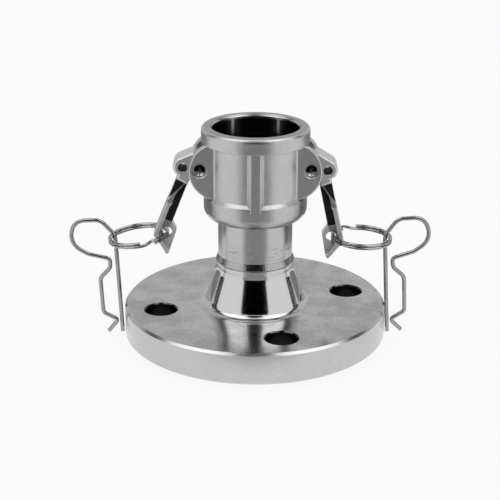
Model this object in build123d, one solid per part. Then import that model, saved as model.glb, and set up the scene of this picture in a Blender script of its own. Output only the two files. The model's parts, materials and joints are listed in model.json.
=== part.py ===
from build123d import *
import os
from math import atan2, cos, degrees, radians, sin, sqrt

# Cam and groove coupler, size 1 inch, welded to a DN 25 PN 16 weld-neck flange.
# Millimetres, +Z up. The origin is the centre of the flange's sealing face.
# The two cam arms lie on the X axis, one each side, and swing in the XZ plane.

# Flow bore, the same through the flange, the pipe and the casting's floor
flow_bore = 27.2
pipe_diameter = 32.4

# Weld-neck flange
flange_diameter = 115.0
flange_thickness = 16.0
raised_face_diameter = 68.0
raised_face_height = 2.0
rim_edge_chamfer = 1.0
hub_foot_diameter = 45.0
hub_foot_fillet = 4.0
hub_cone_top = 32.0
hub_cone_fillet = 7.0
hub_neck_diameter = 33.7
bolt_circle = 85.0
bolt_hole = 14.0
bolt_count = 4
first_bolt_angle = 15.0
bolt_edge_chamfer = 0.5

# Butt weld between the hub and the thinner pipe: a V groove, filled and capped by a
# bead that slopes from the pipe out to its crown and turns down onto the hub
weld_height = 37.2
weld_root_gap = 1.6
weld_face_width = 3.4
weld_crown_diameter = 34.5
weld_crown_height = 36.1
weld_crown_rounding = 0.5

# Cast coupler body
body_bottom = 55.6
pipe_socket_depth = 2.0
collar_diameter = 44.7
collar_top = 65.6
collar_corner = 5.0
collar_edge_rounding = 0.5
ledge_rise = 1.4
barrel_diameter = 41.4
rim_bottom = 89.4
rim_top = 96.2
rim_diameter = 46.6
rim_rounding = 1.8
rim_lower_rounding = 0.5
mouth_bore = 37.4
mouth_lead_in = 0.7
mouth_lead_in_height = 1.0
mouth_relief = 38.2
mouth_land_bottom = 87.8
seat_diameter = 40.0
seat_floor = 59.2
seat_top = 65.7
rib_front_width = 3.6
rib_foot_width = 8.2
rib_reach = 22.9
rib_bottom = 63.4
rib_toe_height = 2.4
rib_toe_depth = 0.8
rib_root_depth = 1.0

# Ears, in two pairs, with a pin hole and a slot for the arm
ear_radius = 12.5
ear_centre = 15.7
ear_centre_height = 78.6
ear_outer = 11.3
ear_slot = 13.0
ear_edge_rounding = 0.7
ear_root_fillet = 1.5
window_bottom = 69.2
window_top = 87.4
pin_reach = 23.6
pin_height = 79.3
pin_diameter = 6.0
pin_recess = 1.0
pin_cup_diameter = 5.0
pin_cup_floor_diameter = 1.6
pin_cup_depth = 1.7
pin_hole_chamfer = 0.35

# Gasket of the mouth
gasket_outer = 39.7
gasket_inner = 27.0
gasket_thickness = 6.35
gasket_edge = 0.4

# Cam arm. In its side view s runs from the pin down the handle and t runs outward
knuckle_width = 12.4
knuckle_radius = 6.9
knuckle_flat = 4.8
pin_clearance = 0.06
cam_radius = 5.1
cam_centre = (-0.8, -4.1)
boss_radius = 4.2
boss_centre = (2.9, 6.8)
safety_hole = 4.0
handle_start = 8.8
handle_outer = 7.5
handle_inner = 2.1
handle_root_slope = 0.8
web_thickness = 2.0
web_width = 11.0
web_start = 19.4
web_start_inside = 21.6
web_end = 36.6
web_end_inside = 35.0
fin_thickness = 0.8
fin_root_width = 5.0
fin_full_width_at = 20.0
stem_width = 3.4
stem_taper = 0.2
stem_setback = 0.1
lug_width = 4.0
lug_start = 28.7
lug_corner = (31.7, -1.2)
lug_corner_rounding = 1.0
lug_hole = 5.2
lug_hole_centre = (34.2, 2.6)
lip_knee = (38.2, 4.8)
lip_tip = (42.6, -0.7)
lip_knee_inside = (36.4, 3.9)
lip_tip_inside = (41.3, -1.6)
knuckle_rounding = 1.2
web_rounding = 0.4

# Split ring: one flat wire wound twice, with a step where it changes level
ring_mean_diameter = 25.5
ring_wire_width = 1.3
ring_wire_height = 1.15
ring_turn_gap = 0.12
ring_wire_chamfer = 0.25
ring_step_angle = 24.0
ring_end_gap_angle = 3.0
ring_step_place = 100.0
ramp_steps = 6

# R-clip: one round wire, with u running outward and v up from the ring that it hangs on
clip_wire = 1.85
clip_leg_offset = -2.35
clip_leg_bottom = -43.9
clip_bends = [
    # corner of the wire's centre line (u, v) from the straight leg, and the bend's radius
    (0.0, 1.6, 6.0),
    (6.0, 8.9, 5.5),
    (17.6, 9.0, 6.0),
    (20.2, -1.6, 7.5),
    (12.6, -6.6, 9.0),
    (3.0, -9.3, 1.9),
    (3.4, -13.6, 3.2),
    (8.1, -18.2, 4.0),
    (8.0, -34.6, 2.2),
    (1.5, -38.4, 1.4),
]
clip_toe = (6.2, -43.6)

# How the loose pieces lie: arm tilt from closed, the ring wire's place in the lug hole,
# the height of the ring's outer end, and the clip's lean outward
poses = {
    "left": {"turn": 180.0, "tilt": 21.7, "wire": (34.6, 1.9), "ring_end": 44.6, "lean": 2.6},
    "right": {"turn": 0.0, "tilt": 12.0, "wire": (34.2, 3.0), "ring_end": 45.2, "lean": -3.2},
}

flow_radius = flow_bore / 2
pipe_radius = pipe_diameter / 2
neck_radius = hub_neck_diameter / 2
weld_low = weld_height - weld_root_gap / 2
weld_high = weld_height + weld_root_gap / 2
weld_face_low = weld_height - weld_face_width / 2
weld_face_high = weld_height + weld_face_width / 2
pipe_top = body_bottom + pipe_socket_depth


def corner(sketch, x, y):
    """The corner of a flat outline that lies nearest to a point."""
    return min(sketch.vertices(), key=lambda v: (v.X - x) ** 2 + (v.Y - y) ** 2)


def outline(points):
    return Polygon(*points, align=None)


def turned(sketch):
    """A half section, radius and height, turned about the coupler's axis."""
    return revolve(Plane.XZ * sketch, axis=Axis.Z)


def side_plate(sketch, width):
    """A side view in the XZ plane, given a width across Y."""
    return extrude(Plane.XZ * sketch, amount=width / 2, both=True)


def make_flange():
    rim = flange_diameter / 2
    face = raised_face_diameter / 2
    foot = hub_foot_diameter / 2
    section = outline([
        (flow_radius, 0),
        (face, 0),
        (face, raised_face_height),
        (rim, raised_face_height),
        (rim, flange_thickness),
        (foot, flange_thickness),
        (neck_radius, hub_cone_top),
        (neck_radius, weld_face_low),
        (flow_radius, weld_low),
    ])
    section = fillet(corner(section, foot, flange_thickness), hub_foot_fillet)
    section = fillet(corner(section, neck_radius, hub_cone_top), hub_cone_fillet)
    for height in (raised_face_height, flange_thickness):
        section = chamfer(corner(section, rim, height), rim_edge_chamfer)
    flange = turned(section)
    holes = PolarLocations(bolt_circle / 2, bolt_count, start_angle=first_bolt_angle)
    through = Plane.XY.offset(flange_thickness / 2) * holes
    flange -= through * Cylinder(bolt_hole / 2, 2 * flange_thickness)
    hole_edges = flange.edges().filter_by(GeomType.CIRCLE)
    hole_edges = hole_edges.filter_by(lambda e: abs(e.radius - bolt_hole / 2) < 0.01)
    return chamfer(hole_edges, bolt_edge_chamfer)


def make_weld():
    crown = weld_crown_diameter / 2
    section = outline([
        (flow_radius, weld_low),
        (neck_radius, weld_face_low),
        (crown, weld_crown_height),
        (pipe_radius, weld_face_high),
        (flow_radius, weld_high),
    ])
    section = fillet(corner(section, crown, weld_crown_height), weld_crown_rounding)
    return turned(section)


def make_pipe():
    section = outline([
        (flow_radius, weld_high),
        (pipe_radius, weld_face_high),
        (pipe_radius, pipe_top),
        (flow_radius, pipe_top),
    ])
    return turned(section)


def make_rib():
    """A tapered rib up the front of the casting, fading into the collar at its foot."""
    inside = barrel_diameter / 2 - rib_root_depth
    plan = outline([
        (-rib_foot_width / 2, -inside),
        (-rib_front_width / 2, -rib_reach),
        (rib_front_width / 2, -rib_reach),
        (rib_foot_width / 2, -inside),
    ])
    rib_top = rim_bottom + rim_lower_rounding
    rib = extrude(Plane.XY.offset(rib_bottom) * plan, amount=rib_top - rib_bottom)
    toe = rib.edges().filter_by(Axis.X).sort_by(Axis.Z)[0:2].sort_by(Axis.Y)[0]
    return chamfer(toe, rib_toe_depth, rib_toe_height)


def make_ear_root():
    """The casting's fillet where the outer face of an ear runs into the barrel."""
    barrel = barrel_diameter / 2
    face = ear_outer
    centre_y = face + ear_root_fillet
    centre_x = sqrt((barrel + ear_root_fillet) ** 2 - centre_y ** 2)
    on_barrel = Vector(centre_x, centre_y).normalized() * barrel
    buried = Vector(barrel - ear_root_fillet, 0).rotate(Axis.Z, degrees(atan2(face, centre_x)))
    plan = outline([
        (buried.X, buried.Y),
        (centre_x, face),
        (centre_x, centre_y),
        (on_barrel.X, on_barrel.Y),
    ])
    plan -= Pos(centre_x, centre_y) * Circle(ear_root_fillet)
    strip = extrude(Plane.XY.offset(collar_top) * plan, amount=rim_bottom - collar_top)
    cheek = Pos(ear_centre, 0, ear_centre_height) * Rot(90, 0, 0) * Cylinder(ear_radius, 3 * ear_outer)
    return strip & cheek


def make_body():
    collar = collar_diameter / 2
    barrel = barrel_diameter / 2
    rim = rim_diameter / 2
    bore = mouth_bore / 2
    relief = mouth_relief / 2
    outside = outline([
        (0, body_bottom),
        (collar, body_bottom),
        (collar, collar_top),
        (barrel, collar_top + ledge_rise),
        (barrel, rim_bottom),
        (rim, rim_bottom),
        (rim, rim_top),
        (0, rim_top),
    ])
    outside = fillet(corner(outside, collar, body_bottom), collar_corner)
    outside = fillet(corner(outside, collar, collar_top), collar_edge_rounding)
    outside = fillet(corner(outside, rim, rim_top), rim_rounding)
    outside = fillet(corner(outside, rim, rim_bottom), rim_lower_rounding)
    inside = outline([
        (0, body_bottom),
        (pipe_radius, body_bottom),
        (pipe_radius, pipe_top),
        (flow_radius, pipe_top),
        (flow_radius, seat_floor),
        (seat_diameter / 2, seat_floor),
        (seat_diameter / 2, seat_top),
        (relief, seat_top),
        (relief, window_top),
        (bore, mouth_land_bottom),
        (bore, rim_top - mouth_lead_in_height),
        (bore + mouth_lead_in, rim_top),
        (0, rim_top),
    ])
    body = turned(outside)
    rib = make_rib()
    body += rib
    body += Rot(0, 0, 180) * rib
    ear = make_ear() + make_ear_root()
    for turn in (0, 180):
        body += Rot(0, 0, turn) * ear
        body += Rot(0, 0, turn) * mirror(ear, about=Plane.XZ)
    body -= turned(inside)
    window_height = window_top - window_bottom
    window_reach = ear_centre + ear_radius - bore / 2
    window = Box(window_reach, ear_slot, window_height, align=(Align.MIN, Align.CENTER, Align.MIN))
    for turn in (0, 180):
        body -= Rot(0, 0, turn) * Pos(bore / 2, 0, window_bottom) * window
        body -= Rot(0, 0, turn) * Pos(pin_reach, 0, pin_height) * make_pin_hole()
    return body


def make_ear():
    """One cheek of a pair: a disc whose inner part is swallowed by the barrel."""
    thickness = ear_outer - ear_slot / 2
    disc = Rot(90, 0, 0) * Cylinder(ear_radius, thickness)
    disc = fillet(disc.edges().filter_by(GeomType.CIRCLE), ear_edge_rounding)
    return Pos(ear_centre, (ear_outer + ear_slot / 2) / 2, ear_centre_height) * disc


def make_pin_hole():
    hole = Rot(90, 0, 0) * Cylinder(pin_diameter / 2, 2 * ear_outer)
    sink = Cone(pin_diameter / 2, pin_diameter / 2 + pin_hole_chamfer, pin_hole_chamfer)
    for side in (-1, 1):
        hole += Pos(0, side * (ear_outer - pin_hole_chamfer / 2), 0) * Rot(-90 * side, 0, 0) * sink
    return hole


def make_pin():
    """A pivot pin sunk below the ears, with a tapered cup in each end."""
    half = ear_outer - pin_recess
    pin = Rot(90, 0, 0) * Cylinder(pin_diameter / 2, 2 * half)
    cup = Cone(pin_cup_floor_diameter / 2, pin_cup_diameter / 2, pin_cup_depth)
    for side in (-1, 1):
        pin -= Pos(0, side * (half - pin_cup_depth / 2), 0) * Rot(-90 * side, 0, 0) * cup
    return pin


def make_gasket():
    section = Rectangle((gasket_outer - gasket_inner) / 2, gasket_thickness, align=Align.MIN)
    section = chamfer(section.vertices(), gasket_edge)
    return turned(Pos(gasket_inner / 2, seat_floor) * section)


def arm_view(points):
    """Points (s, t) of the arm's side view, as X outward and Z up from the pin."""
    return outline([(t, -s) for s, t in points])


def arm_disc(centre, radius):
    return Pos(centre[1], -centre[0]) * Circle(radius)


def side_edges(plate, width):
    """The edges round both side faces of a plate of the given width."""
    return plate.edges().filter_by(lambda e: abs(abs(e.center().Y) - width / 2) < 0.01)


def make_arm():
    knuckle_view = make_hull(
        (arm_disc((0, 0), knuckle_radius) + arm_disc(boss_centre, boss_radius)).edges()
    )
    cam_view = make_hull(
        (arm_disc((0, 0), knuckle_radius) + arm_disc(cam_centre, cam_radius)).edges()
    )
    root_view = arm_view([
        (0, handle_inner),
        (0, handle_outer),
        (handle_start, handle_outer),
        (handle_start + handle_root_slope, handle_inner),
    ])
    bore_side = Pos(0, knuckle_flat + knuckle_radius) * Rectangle(4 * knuckle_radius, 2 * knuckle_radius)
    knuckle = side_plate(knuckle_view + cam_view + root_view - bore_side, knuckle_width)
    knuckle = fillet(side_edges(knuckle, knuckle_width), knuckle_rounding)

    web_inner = handle_outer - web_thickness
    web = side_plate(arm_view([
        (web_start, handle_outer),
        (web_end, handle_outer),
        lip_knee,
        lip_tip,
        lip_tip_inside,
        lip_knee_inside,
        (web_end_inside, web_inner),
        (web_start_inside, web_inner),
    ]), web_width)
    web = fillet(side_edges(web, web_width), web_rounding)

    fin_view = arm_view([
        (handle_start, handle_inner),
        (handle_start, handle_inner + fin_thickness),
        (web_start, handle_outer),
        (web_start_inside, web_inner),
    ])
    fin_plan = outline([
        (-fin_root_width / 2, -handle_start),
        (fin_root_width / 2, -handle_start),
        (web_width / 2 - web_rounding, -fin_full_width_at),
        (web_width / 2 - web_rounding, -web_start_inside),
        (web_rounding - web_width / 2, -web_start_inside),
        (web_rounding - web_width / 2, -fin_full_width_at),
    ])
    fin = side_plate(fin_view, web_width) & extrude(Plane.YZ * fin_plan, amount=2 * handle_outer, both=True)

    stem_inner = handle_inner - stem_taper
    stem_outer = handle_outer - stem_setback
    stem = side_plate(arm_view([
        (0, handle_inner),
        (lug_start, stem_inner),
        (web_end, stem_inner),
        (web_end, stem_outer),
        (0, stem_outer),
    ]), stem_width)

    lug_view = arm_view([
        (lug_start, stem_inner),
        lug_corner,
        lip_tip_inside,
        lip_knee_inside,
        (web_end_inside, web_inner + web_rounding),
        (lug_start, web_inner + web_rounding),
    ])
    corner_s, corner_t = lug_corner
    lug_view = fillet(corner(lug_view, corner_t, -corner_s), lug_corner_rounding)
    lug = side_plate(lug_view, lug_width)

    arm = knuckle + web + fin + stem + lug
    arm -= side_plate(Circle(pin_diameter / 2 + pin_clearance), 2 * knuckle_width)
    arm -= side_plate(arm_disc(boss_centre, safety_hole / 2), 2 * knuckle_width)
    arm -= side_plate(arm_disc(lug_hole_centre, lug_hole / 2), 2 * knuckle_width)
    return arm


def ring_section(angle, level):
    """The flat wire's section, standing across the ring at an angle round it."""
    wire = Rectangle(ring_wire_width, ring_wire_height)
    wire = chamfer(wire.vertices(), ring_wire_chamfer)
    return Rot(0, 0, angle) * Pos(ring_mean_diameter / 2, 0, level) * Rot(90, 0, 0) * wire


def make_ring():
    """Two level turns joined by a short ramp, with the ring's centre at the origin."""
    level = (ring_wire_height + ring_turn_gap) / 2
    turn = 360 - ring_step_angle - ring_end_gap_angle
    lower = revolve(ring_section(ring_step_angle + ring_end_gap_angle, -level), Axis.Z, turn)
    upper = revolve(ring_section(ring_step_angle, level), Axis.Z, turn)
    ramp_sections = []
    for step in range(ramp_steps + 1):
        part_way = step / ramp_steps
        rise = -cos(radians(180 * part_way)) * level
        ramp_sections.append(ring_section(ring_step_angle * part_way, rise))
    ramp = loft(ramp_sections)
    return Rot(0, 0, ring_step_place) * (lower + ramp + upper)


def make_clip():
    corners = [(0, clip_leg_bottom)]
    corners += [(u, v) for u, v, radius in clip_bends]
    corners += [clip_toe]
    bends = [radius for u, v, radius in clip_bends]
    line = Plane.XZ * FilletPolyline(*corners, radius=bends)
    end = Plane(origin=line @ 0, z_dir=line % 0)
    return Pos(clip_leg_offset, 0, 0) * sweep(end * Circle(clip_wire / 2), path=line)


def arm_point(tilt, place):
    """A point (s, t) of a tilted arm, as X and Z on the right-hand side."""
    s, t = place
    lean = radians(tilt)
    x = pin_reach + s * sin(lean) + t * cos(lean)
    z = pin_height - s * cos(lean) + t * sin(lean)
    return x, z


def hanging(pose):
    """Where a ring passes through its lug and where its clip hangs, on the right-hand side."""
    inner_x, inner_z = arm_point(pose["tilt"], pose["wire"])
    rise = pose["ring_end"] - inner_z
    outer_x = inner_x + sqrt(ring_mean_diameter ** 2 - rise ** 2)
    return inner_x, inner_z, outer_x, pose["ring_end"]


def main():
    os.makedirs("parts", exist_ok=True)
    parts = {
        "weld_neck_flange": make_flange(),
        "neck_weld": make_weld(),
        "neck_pipe": make_pipe(),
        "coupler_body": make_body(),
        "mouth_gasket": make_gasket(),
    }
    pin = make_pin()
    arm = make_arm()
    ring = make_ring()
    clip = make_clip()
    for side, pose in poses.items():
        about = Rot(0, 0, pose["turn"])
        at_pin = about * Pos(pin_reach, 0, pin_height)
        parts["pivot_pin_" + side] = at_pin * pin
        parts["cam_arm_" + side] = at_pin * Rot(0, -pose["tilt"], 0) * arm

        inner_x, inner_z, outer_x, outer_z = hanging(pose)
        slope = degrees(atan2(outer_z - inner_z, outer_x - inner_x))
        middle = Pos((inner_x + outer_x) / 2, 0, (inner_z + outer_z) / 2)
        parts["split_ring_" + side] = about * middle * Rot(0, -slope, 0) * ring
        hung = about * Pos(outer_x, 0, outer_z) * Rot(0, pose["lean"], 0)
        parts["safety_clip_" + side] = hung * clip
    for name, part in parts.items():
        export_step(part, "parts/" + name + ".step")


if __name__ == "__main__":
    main()
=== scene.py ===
# %% [markdown]
# # A cam and groove coupler on a weld-neck flange
# This lesson dresses a stainless steel pipe fitting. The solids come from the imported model:
# a flange, a short neck, a cast coupler body, two cam arms, two split rings and two wire clips.
# Nothing here moves or resizes them. Each gets the finish that its own making leaves on it:
# lathe grooves on turned faces, a fine sandy skin on castings, drawn wire, and a rippled weld.

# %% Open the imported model
import json
import math

import bpy
from mathutils import Matrix, Vector


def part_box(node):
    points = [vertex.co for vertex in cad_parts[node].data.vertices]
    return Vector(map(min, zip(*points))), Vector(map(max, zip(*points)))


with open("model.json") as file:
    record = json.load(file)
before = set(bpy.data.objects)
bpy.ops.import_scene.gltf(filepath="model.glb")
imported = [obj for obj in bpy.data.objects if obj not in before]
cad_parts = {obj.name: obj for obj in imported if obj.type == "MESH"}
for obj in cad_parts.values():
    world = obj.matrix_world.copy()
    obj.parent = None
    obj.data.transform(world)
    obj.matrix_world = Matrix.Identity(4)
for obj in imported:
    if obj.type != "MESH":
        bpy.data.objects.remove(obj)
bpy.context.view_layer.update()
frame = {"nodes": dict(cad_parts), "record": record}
nodes = frame["nodes"]
print("nodes:", ", ".join(sorted(nodes)))

# %% [markdown]
# ## Where things are
# The frame says where every piece lies, so the few heights and radii that the finishes need
# are measured from it, in metres. A bolt circle is a real size from the record's mounts.

# %% Measure the pieces
MM = 0.001
mounts = {mount["name"]: mount for mount in frame["record"]["mounts"]}
rim_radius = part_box("weld_neck_flange")[1].x
body_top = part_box("coupler_body")[1].z
weld_low, weld_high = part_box("neck_weld")
mouth_radius = mounts["coupler_mouth"]["dims"]["r_mm"] * MM
bolt_circle_radius = mounts["flange_bolts"]["dims"]["pcd_mm"] / 2 * MM
raised_face_radius = 34 * MM
print("flange radius", round(rim_radius, 5), "mouth radius", round(mouth_radius, 5))


# %% [markdown]
# ## A small language for materials
# A material is sums on numbers that vary over a surface: how far from the axis, how high,
# how rough the grain is just there. Wiring each sum by hand hides the idea, so one small
# class wraps a socket and lets plain Python write the sums. Each operator adds a Math node.

# %% Numbers that vary over a surface
class Field:
    def __init__(self, tree, socket):
        self.tree = tree
        self.socket = socket

    def math(self, operation, *others):
        node = self.tree.nodes.new("ShaderNodeMath")
        node.operation = operation
        for slot, value in zip(node.inputs, (self, *others)):
            if isinstance(value, Field):
                self.tree.links.new(value.socket, slot)
            else:
                slot.default_value = value
        return Field(self.tree, node.outputs[0])

    def __add__(self, other):
        return self.math("ADD", other)

    __radd__ = __add__

    def __mul__(self, other):
        return self.math("MULTIPLY", other)

    __rmul__ = __mul__

    def __sub__(self, other):
        return self.math("SUBTRACT", other)

    def __rsub__(self, other):
        return (self * -1) + other

    def __truediv__(self, other):
        return self.math("DIVIDE", other)

    def sine(self):
        return self.math("SINE")

    def root(self):
        return self.math("SQRT")

    def size(self):
        return self.math("ABSOLUTE")

    def angle_with(self, other):
        return self.math("ARCTAN2", other)

    def wave(self):
        """The sine of a number, moved to lie between 0 and 1."""
        return self.sine() * 0.5 + 0.5

    def rings(self, pitch):
        """Waves that repeat at every pitch, as the feed of a lathe tool leaves them."""
        return (self * (2 * math.pi / pitch)).wave()

    def rise(self, low, high):
        """0 below low, 1 above high, and a smooth step between them. It also falls if low > high."""
        node = self.tree.nodes.new("ShaderNodeMapRange")
        node.interpolation_type = "SMOOTHSTEP"
        node.inputs["From Min"].default_value = low
        node.inputs["From Max"].default_value = high
        self.tree.links.new(self.socket, node.inputs["Value"])
        return Field(self.tree, node.outputs["Result"])


# %% A material with one metal or rubber shader
class Finish:
    def __init__(self, name, metallic=1.0):
        self.material = bpy.data.materials.new(name)
        self.material.use_nodes = True
        self.tree = self.material.node_tree
        self.shader = self.tree.nodes["Principled BSDF"]
        self.shader.inputs["Metallic"].default_value = metallic
        self.bumps = None
        coordinates = self.tree.nodes.new("ShaderNodeTexCoord")
        self.place = coordinates.outputs["Object"]

    def node(self, kind, settings=None, **values):
        """Any node by its type: settings first, then values or links of its named sockets."""
        made = self.tree.nodes.new(kind)
        for name, value in (settings or {}).items():
            setattr(made, name, value)
        for name, value in values.items():
            slot = made.inputs[name.replace("_", " ")]
            if isinstance(value, Field):
                self.tree.links.new(value.socket, slot)
            elif isinstance(value, bpy.types.NodeSocket):
                self.tree.links.new(value, slot)
            else:
                slot.default_value = value
        return made

    def axes(self):
        split = self.node("ShaderNodeSeparateXYZ", Vector=self.place)
        return [Field(self.tree, split.outputs[axis]) for axis in "XYZ"]

    def from_axis(self, axes):
        """How far a point is from the nearest of some axes along Y, each given as X and Z."""
        x, y, z = self.axes()
        nearest = None
        for axis_x, axis_z in axes:
            side = x - axis_x
            rise = z - axis_z
            distance = (side * side + rise * rise).root()
            nearest = distance if nearest is None else nearest.math("MINIMUM", distance)
        return nearest

    def stretched(self, scale):
        """Object coordinates, scaled along each axis, to draw a grain out in one direction."""
        mapping = self.node("ShaderNodeMapping", {"vector_type": "POINT"}, Vector=self.place)
        mapping.inputs["Scale"].default_value = scale
        return mapping.outputs["Vector"]

    def noise(self, grain, detail=3.0, roughness=0.55, place=None):
        """Soft noise from 0 to 1 whose blotches are about one grain across, in metres."""
        made = self.node(
            "ShaderNodeTexNoise",
            Vector=place or self.place,
            Scale=1 / grain,
            Detail=detail,
            Roughness=roughness,
        )
        return Field(self.tree, made.outputs[0])

    def shade_between(self, factor, dark, light):
        """A grey, or a mix of two colours, from dark where factor is 0 to light where it is 1."""
        mixed = self.node("ShaderNodeMix", {"data_type": "RGBA"})
        self.tree.links.new(factor.socket, mixed.inputs[0])
        for slot, value in ((mixed.inputs[6], dark), (mixed.inputs[7], light)):
            if isinstance(value, bpy.types.NodeSocket):
                self.tree.links.new(value, slot)
            else:
                slot.default_value = (value, value, value * 1.01, 1)
        return mixed.outputs[2]

    def bump(self, height, depth):
        """Raises the surface by a 0 to 1 height times a real depth in metres. Bumps stack."""
        made = self.node("ShaderNodeBump", Height=height, Distance=depth)
        if self.bumps is not None:
            self.tree.links.new(self.bumps, made.inputs["Normal"])
        self.bumps = made.outputs["Normal"]
        self.tree.links.new(self.bumps, self.shader.inputs["Normal"])

    def feed(self, name, source):
        socket = source.socket if isinstance(source, Field) else source
        self.tree.links.new(socket, self.shader.inputs[name])

    def on(self, *names):
        for name in names:
            mesh = nodes[name].data
            mesh.materials.clear()
            mesh.materials.append(self.material)
        print(self.material.name, "on", ", ".join(names))


# %% [markdown]
# ## The cast body
# The coupler body is an investment casting. Its skin copies a ceramic shell, so it is evenly
# satin with a fine sandy grain and slow, slightly wavy faces. Inside the mouth a lathe has cut
# a plain bore: there the grain gives way to close rings round the axis.
#
# Not all of this is the steel's own look. The wall of the mouth is painted near black with light
# streaks down it, in place of shade and reflections, and the flat top face is painted darker, as a
# painted shade. Paint stays put when the light or the view changes, so this is a short cut, and
# lights and cards do it better.

# %% Cast steel with a turned mouth
MOUTH_RING_PITCH = 0.35 * MM
TURNED_FROM = 64 * MM
DARK_WALL_RADIUS = 19.2 * MM
DARK_WALL_TOP = 94.0 * MM
STREAK_FROM_MIDDLE = 9.9 * MM
STREAK_FADES_IN = (84 * MM, 93 * MM)
MOUTH_DARK = 0.05
MOUTH_STREAK = 0.5
# The grey of the painted shade on the body's flat top face.
TOP_FACE_PAINTED_SHADE = 0.36


def mouth_wall(steel, x, z):
    """The painted wall of the mouth: near black, with light streaks left and right."""
    away = x.size()
    streak = away.rise(STREAK_FROM_MIDDLE - 1.0 * MM, STREAK_FROM_MIDDLE - 0.1 * MM)
    streak = streak * away.rise(STREAK_FROM_MIDDLE + 1.0 * MM, STREAK_FROM_MIDDLE + 0.1 * MM)
    return steel.shade_between(streak * z.rise(*STREAK_FADES_IN), MOUTH_DARK, MOUTH_STREAK)


def cast_body():
    steel = Finish("satin_cast_steel")
    x, y, z = steel.axes()
    radius = (x * x + y * y).root()
    sand = steel.noise(0.8 * MM, detail=4.0, roughness=0.65)
    waves = steel.noise(6 * MM, detail=2.0)
    blotch = steel.noise(2.2 * MM, detail=3.0)
    turned = radius.rise(mouth_radius + 0.6 * MM, mouth_radius + 0.2 * MM)
    turned = turned * z.rise(TURNED_FROM, TURNED_FROM + 1 * MM)
    cast = 1 - turned
    inside = radius.rise(DARK_WALL_RADIUS + 0.4 * MM, DARK_WALL_RADIUS)
    inside = inside * z.rise(DARK_WALL_TOP + 0.6 * MM, DARK_WALL_TOP)
    # The flat top face is painted darker: a painted shade, not a tone of the steel.
    painted_shade_on_top = z.rise(body_top - 0.3 * MM, body_top - 0.1 * MM)
    sandy = steel.shade_between(blotch * 0.6 + waves * 0.4, 0.46, 0.60)
    skin = steel.shade_between(painted_shade_on_top, sandy, TOP_FACE_PAINTED_SHADE)
    steel.feed("Base Color", steel.shade_between(inside, skin, mouth_wall(steel, x, z)))
    steel.feed("Roughness", cast * (blotch * 0.08 + 0.27) + turned * 0.24)
    steel.bump(waves * cast, 0.10 * MM)
    steel.bump(sand * cast, 0.060 * MM)
    steel.bump(z.rings(MOUTH_RING_PITCH) * turned, 0.006 * MM)
    return steel


cast_body().on("coupler_body")


# %% [markdown]
# ## The turned flange
# Every face of the flange comes off a lathe, so the tool's fine spiral shows as rings round the
# axis on flat faces and as rings up the rim and the hub. The hub is polished smoother than the
# face. The raised sealing face underneath has coarser grooves, which bite into a gasket. The
# walls of the bolt holes are painted dark, for the shade that a drilled hole holds.

# %% How far a point is from a bolt hole
FIRST_BOLT_ANGLE = math.radians(15)
BOLT_HOLE_RADIUS = 7 * MM


def from_bolt_axis(x, y):
    """How far a point is from the nearest of the four bolt holes' axes."""
    along = x * math.cos(FIRST_BOLT_ANGLE) + y * math.sin(FIRST_BOLT_ANGLE)
    across = y * math.cos(FIRST_BOLT_ANGLE) - x * math.sin(FIRST_BOLT_ANGLE)
    first = along.size() - bolt_circle_radius
    second = across.size() - bolt_circle_radius
    first_pair = first * first + across * across
    second_pair = second * second + along * along
    return first_pair.math("MINIMUM", second_pair).root()


# %% Turned steel
FACE_PITCH = 0.40 * MM
RIM_PITCH = 0.45 * MM
SEALING_PITCH = 0.8 * MM
HUB_FOOT_RADIUS = 22.5 * MM
BOLT_HOLE_DARK = 0.10


def turned_flange():
    steel = Finish("turned_steel")
    x, y, z = steel.axes()
    radius = (x * x + y * y).root()
    hub = radius.rise(HUB_FOOT_RADIUS + 2.0 * MM, HUB_FOOT_RADIUS)
    rim = radius.rise(rim_radius - 1.3 * MM, rim_radius - 0.9 * MM)
    face = (1 - hub) * (1 - rim)
    in_hole = from_bolt_axis(x, y).rise(BOLT_HOLE_RADIUS + 0.60 * MM, BOLT_HOLE_RADIUS + 0.50 * MM)
    sealing = radius.rise(raised_face_radius + 0.2 * MM, raised_face_radius - 0.2 * MM)
    sealing = z.rise(1.0 * MM, 0.4 * MM) * sealing
    drag = steel.noise(1.4 * MM, detail=4.0, place=steel.stretched((1.0, 1.0, 3.0)))
    stain = steel.noise(14 * MM, detail=3.0)
    speck = steel.noise(0.9 * MM, detail=5.0, roughness=0.7)
    mottle = stain.rise(0.35, 0.65) * 0.5 + drag.rise(0.3, 0.7) * 0.3 + speck * 0.2
    dull = steel.shade_between(mottle, 0.34, 0.62)
    rolled = steel.shade_between(drag * 0.6 + stain * 0.4, 0.46, 0.66)
    polished = steel.shade_between(drag, 0.56, 0.64)
    outside = steel.shade_between(hub, steel.shade_between(rim, dull, rolled), polished)
    face_roughness = stain * 0.08 + speck * 0.04 + 0.08
    hub_roughness = drag * 0.05 + 0.10
    steel.feed("Base Color", steel.shade_between(in_hole, outside, BOLT_HOLE_DARK))
    steel.feed("Roughness", face * face_roughness + rim * 0.22 + hub * hub_roughness)
    up = z.rings(RIM_PITCH)
    steel.bump(radius.rings(FACE_PITCH) * face, 0.004 * MM)
    steel.bump(up * rim, 0.008 * MM)
    steel.bump(up * hub, 0.0012 * MM)
    steel.bump(radius.rings(SEALING_PITCH) * sealing, 0.05 * MM)
    steel.bump(stain * face, 0.05 * MM)
    return steel


turned_flange().on("weld_neck_flange")


# %% [markdown]
# ## The drawn neck
# The neck is a stub of drawn tube, brushed bright. Its grain runs round the axis, so the noise
# is squeezed along Z, and a few longer scratches cross it where it was turned in a rest.

# %% Drawn tube
GRAIN_SQUEEZE = (1.0, 1.0, 9.0)
SCRATCH_SQUEEZE = (1.0, 1.0, 14.0)
SCRATCHES_START = (39 * MM, 41 * MM)
SCRATCHES_END = (48 * MM, 45 * MM)


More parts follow.
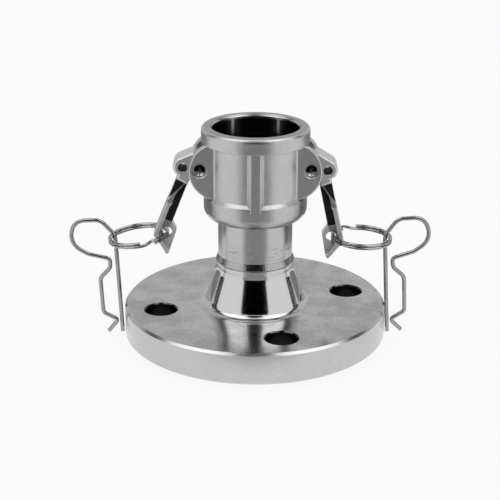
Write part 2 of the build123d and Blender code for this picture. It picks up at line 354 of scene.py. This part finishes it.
def drawn_tube():
    steel = Finish("drawn_tube_steel")
    x, y, z = steel.axes()
    grain = steel.noise(1.2 * MM, detail=5.0, place=steel.stretched(GRAIN_SQUEEZE))
    slow = steel.noise(9 * MM, detail=2.0)
    scratch = steel.noise(5 * MM, detail=3.0, place=steel.stretched(SCRATCH_SQUEEZE))
    scratched = scratch.rise(0.60, 0.66) * z.rise(*SCRATCHES_START) * z.rise(*SCRATCHES_END)
    clean = steel.shade_between(slow * 0.5 + grain * 0.5, 0.46, 0.58)
    steel.feed("Base Color", steel.shade_between(scratched, clean, 0.34))
    steel.feed("Roughness", grain * 0.08 + scratched * 0.10 + 0.22)
    steel.bump(grain, 0.008 * MM)
    steel.bump(scratched, 0.01 * MM)
    steel.bump(slow, 0.05 * MM)
    return steel


drawn_tube().on("neck_pipe")


# %% [markdown]
# ## The weld
# The weld was laid in one turn and brushed. Its crown is smooth and shiny, with a faint ripple
# where each pool froze, and its two toes are darker. The ripple is a wave in the angle round the
# axis that lags behind away from the middle of the bead, which bends it into arcs.

# %% Weld metal
RIPPLE_COUNT = 90
RIPPLE_LAG = 2.0
weld_middle = (weld_low.z + weld_high.z) / 2
weld_half_height = (weld_high.z - weld_low.z) / 2


def weld_metal():
    steel = Finish("weld_metal")
    x, y, z = steel.axes()
    from_middle = (z - weld_middle) / weld_half_height
    ripple = (y.angle_with(x) * RIPPLE_COUNT + from_middle * from_middle * RIPPLE_LAG).wave()
    blotch = steel.noise(1.5 * MM, detail=4.0)
    toe = from_middle.size().rise(0.80, 0.98)
    steel.feed("Base Color", steel.shade_between(toe, steel.shade_between(blotch, 0.38, 0.48), 0.34))
    steel.feed("Roughness", blotch * 0.10 + 0.17)
    steel.bump(ripple, 0.006 * MM)
    steel.bump(blotch, 0.03 * MM)
    return steel


weld_metal().on("neck_weld")


# %% [markdown]
# ## The arms
# The arms are castings of the same steel. On each a fin widens into a flat handle, with a thin
# stem behind it. The deep pockets beside the stem and the safety holes are painted dark, in
# place of the shade in them. The paint has its place on the arm and swings with it. Since each
# arm hangs at its own tilt, a point is first told by how far it lies down the arm from the pin,
# and how far out.

# %% Where each arm's pin and safety hole lie
ARM_TILT = {-1: 21.7, 1: 12.0}
SAFETY_HOLE_RADIUS = 2.0 * MM
SAFETY_HOLE_ALONG = 2.9 * MM
SAFETY_HOLE_OUTWARD = 6.8 * MM
pin_axes = []
safety_hole_axes = []
for side, tilt in ARM_TILT.items():
    low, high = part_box("pivot_pin_left" if side < 0 else "pivot_pin_right")
    pin_x, pin_z = (low.x + high.x) / 2, (low.z + high.z) / 2
    lean = math.radians(tilt)
    out = SAFETY_HOLE_ALONG * math.sin(lean) + SAFETY_HOLE_OUTWARD * math.cos(lean)
    up = SAFETY_HOLE_OUTWARD * math.sin(lean) - SAFETY_HOLE_ALONG * math.cos(lean)
    pin_axes.append((pin_x, pin_z))
    safety_hole_axes.append((pin_x + side * out, pin_z + up))
pin_end = high.y
print("pins at", [[round(1000 * value, 1) for value in axis] for axis in pin_axes])


# %% Places on a tilted arm
def on_arm(x, z, side):
    """How far down a tilted arm a point lies from its pin, and how far out."""
    pin_x, pin_z = pin_axes[0] if side < 0 else pin_axes[1]
    lean = math.radians(ARM_TILT[side])
    down = (x - pin_x) * (side * math.sin(lean)) - (z - pin_z) * math.cos(lean)
    out = (x - pin_x) * (side * math.cos(lean)) + (z - pin_z) * math.sin(lean)
    return down, out


def on_its_arm(x, z):
    """The same on either arm, told apart by the side of the middle that a point is on."""
    right = x.rise(-1 * MM, 1 * MM)
    down_right, out_right = on_arm(x, z, 1)
    down_left, out_left = on_arm(x, z, -1)
    down = down_right * right + down_left * (1 - right)
    out = out_right * right + out_left * (1 - right)
    return down, out


# %% The pockets beside the stem
FIN_START = 8.8 * MM
FIN_END = 19.4 * MM
FIN_OUT_AT_START = 2.9 * MM
FIN_SLOPE = 0.434
FIN_EDGE = 0.35 * MM
FIN_EDGE_GROWS = (14 * MM, 20 * MM)
FIN_EDGE_GROWTH = 1.6 * MM
STEM_HALF_WIDTH = 1.7 * MM
STEM_INNER = 2.0 * MM
STEM_OUTER = 7.4 * MM


def pockets(y, down, out):
    """1 under the fin and on the sides of the stem, and 0 on the rest of the arm."""
    under_fin = (down - FIN_START) * FIN_SLOPE + FIN_OUT_AT_START - out
    edge_width = down.rise(*FIN_EDGE_GROWS) * FIN_EDGE_GROWTH + FIN_EDGE
    outside_stem = out.rise(STEM_INNER, STEM_INNER + 0.2 * MM)
    fin_shade = (under_fin - edge_width).rise(0, 0.3 * MM) * outside_stem
    fin_shade = fin_shade * down.rise(FIN_START + 0.1 * MM, FIN_START + 0.5 * MM)
    fin_shade = fin_shade * down.rise(FIN_END, FIN_END - 0.5 * MM)
    between_faces = outside_stem * out.rise(STEM_OUTER - 0.05 * MM, STEM_OUTER - 0.2 * MM)
    beside_stem = y.size().rise(STEM_HALF_WIDTH + 0.45 * MM, STEM_HALF_WIDTH + 0.15 * MM)
    beside_stem = beside_stem * between_faces * down.rise(FIN_START, FIN_START + 0.4 * MM)
    return beside_stem.math("MAXIMUM", fin_shade)


# %% Cast arms
POCKET_DARK = 0.03
HOLE_DARK = 0.01
HOLE_DARK_WITHIN = (5.7 * MM, 5.0 * MM)


def cast_arm():
    steel = Finish("cast_arm_steel")
    x, y, z = steel.axes()
    sand = steel.noise(0.4 * MM, detail=4.0, roughness=0.65)
    blotch = steel.noise(2.5 * MM, detail=3.0)
    down, out = on_its_arm(x, z)
    skin = steel.shade_between(blotch, 0.58, 0.78)
    outside = steel.shade_between(1 - pockets(y, down, out), POCKET_DARK, skin)
    from_hole = steel.from_axis(safety_hole_axes)
    hole = from_hole.rise(SAFETY_HOLE_RADIUS + 0.25 * MM, SAFETY_HOLE_RADIUS + 0.12 * MM)
    deep = hole * y.size().rise(*HOLE_DARK_WITHIN)
    steel.feed("Base Color", steel.shade_between(deep, outside, HOLE_DARK))
    steel.feed("Roughness", (blotch * 0.10 + 0.38) * (1 - hole) + hole * 0.12 + deep * 0.5)
    steel.bump(blotch, 0.05 * MM)
    steel.bump(sand, 0.025 * MM)
    return steel


cast_arm().on("cam_arm_left", "cam_arm_right")


# %% [markdown]
# ## Wire, pins and gasket
# Rings and clips are bright drawn wire with faint lengthwise streaks. The pins are turned, with
# a cup in each end. The upper half of a cup is painted dark and its lower half left bright,
# which is painted shade again and not the steel's own. The gasket is moulded rubber.

# %% Drawn wire
WIRE_STRETCH = (2.0, 6.0, 0.6)


def bright_wire():
    steel = Finish("bright_wire_steel")
    streak = steel.noise(0.8 * MM, detail=4.0, place=steel.stretched(WIRE_STRETCH))
    steel.feed("Base Color", steel.shade_between(streak, 0.26, 0.44))
    steel.feed("Roughness", streak * 0.06 + 0.05)
    steel.bump(streak, 0.006 * MM)
    return steel


bright_wire().on("split_ring_left", "split_ring_right", "safety_clip_left", "safety_clip_right")

# %% Turned pins
PIN_HEIGHT = pin_axes[0][1]
CUP_DARK = 0.04
CUP_DARK_ABOVE = (-1.2 * MM, -0.4 * MM)


def turned_pin():
    steel = Finish("turned_pin_steel")
    x, y, z = steel.axes()
    spots = steel.noise(0.9 * MM, detail=3.0)
    cup = y.size().rise(pin_end - 0.05 * MM, pin_end - 0.20 * MM)
    upper = (z - PIN_HEIGHT).rise(*CUP_DARK_ABOVE)
    turned = steel.shade_between(spots, 0.46, 0.62)
    steel.feed("Base Color", steel.shade_between(cup * upper, turned, CUP_DARK))
    steel.feed("Roughness", spots * 0.14 + 0.16)
    steel.bump(spots, 0.02 * MM)
    return steel


turned_pin().on("pivot_pin_left", "pivot_pin_right")


# %% Moulded rubber
def moulded_rubber():
    rubber = Finish("moulded_rubber", metallic=0.0)
    fine = rubber.noise(0.6 * MM, detail=3.0)
    rubber.feed("Base Color", rubber.shade_between(fine, 0.016, 0.030))
    rubber.feed("Roughness", fine * 0.15 + 0.50)
    rubber.bump(fine, 0.02 * MM)
    return rubber


moulded_rubber().on("mouth_gasket")

# %% [markdown]
# ## Floor, light and camera
# Bright metal shows its surroundings more than itself. The steel stands in a white room, and
# the room shines white both in the picture and in the metal. As a light it is a little weaker.

# %% The light of the room
ROOM_LIGHT = 0.6
WHITE = (1, 1, 1, 1)

# %% Which rays look at the background
def looked_at(tree):
    """1 for rays that show a surface as it is seen, in the picture or in metal or glass."""
    paths = tree.nodes.new("ShaderNodeLightPath")
    seen = Field(tree, paths.outputs["Is Camera Ray"])
    for name in ("Is Glossy Ray", "Is Transmission Ray"):
        seen = seen.math("MAXIMUM", Field(tree, paths.outputs[name]))
    return seen


# %% The floor
FLOOR_WIDTH = 4.0
FLOOR_GLOW_SHARE = 0.9
bpy.ops.object.select_all(action="DESELECT")
bpy.ops.mesh.primitive_plane_add(size=FLOOR_WIDTH, location=(0, 0, 0))
floor = bpy.context.object
floor.name = "floor"
floor_paint = Finish("pale_floor", metallic=0.0)
floor_paint.shader.inputs["Base Color"].default_value = (0.80, 0.80, 0.80, 1)
floor_paint.shader.inputs["Roughness"].default_value = 0.9
glow = floor_paint.node("ShaderNodeEmission", Strength=1.0)
glow.inputs["Color"].default_value = WHITE
share = looked_at(floor_paint.tree) * FLOOR_GLOW_SHARE
blend = floor_paint.node("ShaderNodeMixShader", Fac=share)
floor_paint.tree.links.new(floor_paint.shader.outputs[0], blend.inputs[1])
floor_paint.tree.links.new(glow.outputs[0], blend.inputs[2])
output = floor_paint.tree.nodes["Material Output"]
floor_paint.tree.links.new(blend.outputs[0], output.inputs["Surface"])
floor.data.materials.append(floor_paint.material)
print("floor", FLOOR_WIDTH, "m wide")

# %% The white room
world = bpy.data.worlds.new("studio")
bpy.context.scene.world = world
world.use_nodes = True
room = world.node_tree
background = room.nodes["Background"]
background.inputs["Color"].default_value = WHITE
strength = looked_at(room) * (1 - ROOM_LIGHT) + ROOM_LIGHT
room.links.new(strength.socket, background.inputs["Strength"])
print("room light", ROOM_LIGHT)

# %% [markdown]
# ## Cards for the metal to mirror
# A photographer of bright metal stands cards round it, out of the picture, and moves them until
# their reflections draw the shape. These eight are seen in reflections alone: the picture, the
# shadows and the light know nothing of them. They were placed to match one photograph, so from
# other sides they do harm as well. From straight behind, the flange's top mirrors the black card
# behind the camera and turns black.

# %% Where a card stands
CARD_DISTANCE = 1.2
JUST_OFF_FLOOR = 0.001


def on_circle(distance, angle, height):
    """A point round the object. Angle 0 is toward the camera and 90 is to its right."""
    turn = math.radians(angle)
    return (distance * math.sin(turn), -distance * math.cos(turn), height)


def standing(start, end, low, high, distance=CARD_DISTANCE):
    """The corners of an upright card between two angles round the object."""
    return [on_circle(distance, angle, height) for height in (low, high) for angle in (start, end)]


def lying(start, end, near, far):
    """The corners of a card that lies on the floor between two angles."""
    return [on_circle(distance, angle, JUST_OFF_FLOOR) for distance in (far, near) for angle in (start, end)]


def leaning(half_width, front, back):
    """The corners of a card that leans over the object. Front and back are each Y and Z."""
    return [(x, y, z) for y, z in (front, back) for x in (-half_width, half_width)]


# %% How a card is made
def dark_card(name, corners, shade):
    bpy.ops.object.select_all(action="DESELECT")
    bpy.ops.mesh.primitive_plane_add(size=1.0)
    card = bpy.context.object
    card.name = name
    for vertex, corner in zip(card.data.vertices, corners):
        vertex.co = corner
    paint = Finish(name + "_paint", metallic=0.0)
    glow = paint.node("ShaderNodeEmission", Strength=1.0)
    glow.inputs["Color"].default_value = (shade, shade, shade, 1)
    paint.tree.links.new(glow.outputs[0], paint.tree.nodes["Material Output"].inputs["Surface"])
    card.data.materials.append(paint.material)
    card.visible_camera = False
    card.visible_diffuse = False
    card.visible_shadow = False
    print(name, "shade", shade)


# %% [markdown]
# To learn what a card does, leave it out and render again. The black one behind the camera draws
# the band down the hub and the patch on the weld. The one above it darkens the hub's image in the
# flange's top. The left and right ones draw the dark lines down the sides of the hub. The tall
# grey one at the back tones down the flange's top. The one on the floor in front darkens every
# face that looks straight out, and the two at the back of the floor grey the hub's far sides.
#
# A card is flat, so a wide one cuts straight across its circle. The grey one spans 136 degrees of
# a circle of 1.3 m, and its middle stands only 0.5 m away: whatever is behind it is hidden.

# %% Black cards
dark_card("card_behind_camera", standing(-32, 31, low=0, high=1.05, distance=1.4), shade=0.0)
dark_card("card_above_camera", leaning(0.3, front=(-1.0, 1.05), back=(-0.35, 1.40)), shade=0.02)
dark_card("card_left", standing(-117, -96, low=0, high=1.6), shade=0.01)
dark_card("card_right", standing(96, 117, low=0, high=1.6), shade=0.01)

# %% The grey card at the back
dark_card("card_far_behind", standing(112, 248, low=0, high=1.1, distance=1.3), shade=0.68)

# %% Grey cards on the floor
dark_card("card_on_floor", lying(-34, 34, near=0.103, far=1.6), shade=0.36)
dark_card("card_floor_left", lying(-160, -116, near=0.125, far=1.0), shade=0.25)
dark_card("card_floor_right", lying(116, 160, near=0.125, far=1.0), shade=0.25)

# %% Two soft lamps
LAMP_AIM = Vector((0, 0, 0.05))


def soft_lamp(name, place, width, power):
    lamp = bpy.data.lights.new(name, "AREA")
    lamp.size = width
    lamp.energy = power
    lamp_object = bpy.data.objects.new(name, lamp)
    lamp_object.location = place
    aim = LAMP_AIM - Vector(place)
    lamp_object.rotation_euler = aim.to_track_quat("-Z", "Y").to_euler()
    bpy.context.scene.collection.objects.link(lamp_object)
    print(name, "power", power)


soft_lamp("left_box", place=(-0.55, -0.15, 1.10), width=0.8, power=1.8)
soft_lamp("right_box", place=(0.55, -0.20, 1.10), width=0.8, power=1.8)

# %% [markdown]
# ## The camera
# The photograph was taken from the front, looking down by 20.7 degrees from 0.6 m away with a
# long lens. These numbers came from fitting the flange's two rims and the mouth circle.

# %% The camera
view_pitch = math.radians(20.674)
view_roll = math.radians(0.176)
view_distance = 0.59903
view_target = Vector((-0.00224, 0, 0.0396))
camera = bpy.data.cameras.new("camera")
camera.sensor_width = 36.0
camera.lens = 98.3
camera.clip_start = 0.01
camera_object = bpy.data.objects.new("camera", camera)
toward_camera = Vector((0, -math.cos(view_pitch), math.sin(view_pitch)))
camera_place = Matrix.Translation(view_target + toward_camera * view_distance)
tip = Matrix.Rotation(math.radians(90) - view_pitch, 4, "X")
roll = Matrix.Rotation(view_roll, 4, "Z")
camera_object.matrix_world = camera_place @ tip @ roll
bpy.context.scene.collection.objects.link(camera_object)
bpy.context.scene.camera = camera_object
bpy.context.scene.view_settings.view_transform = "Standard"
print("camera", round(view_distance, 3), "m from", [round(value, 3) for value in view_target])
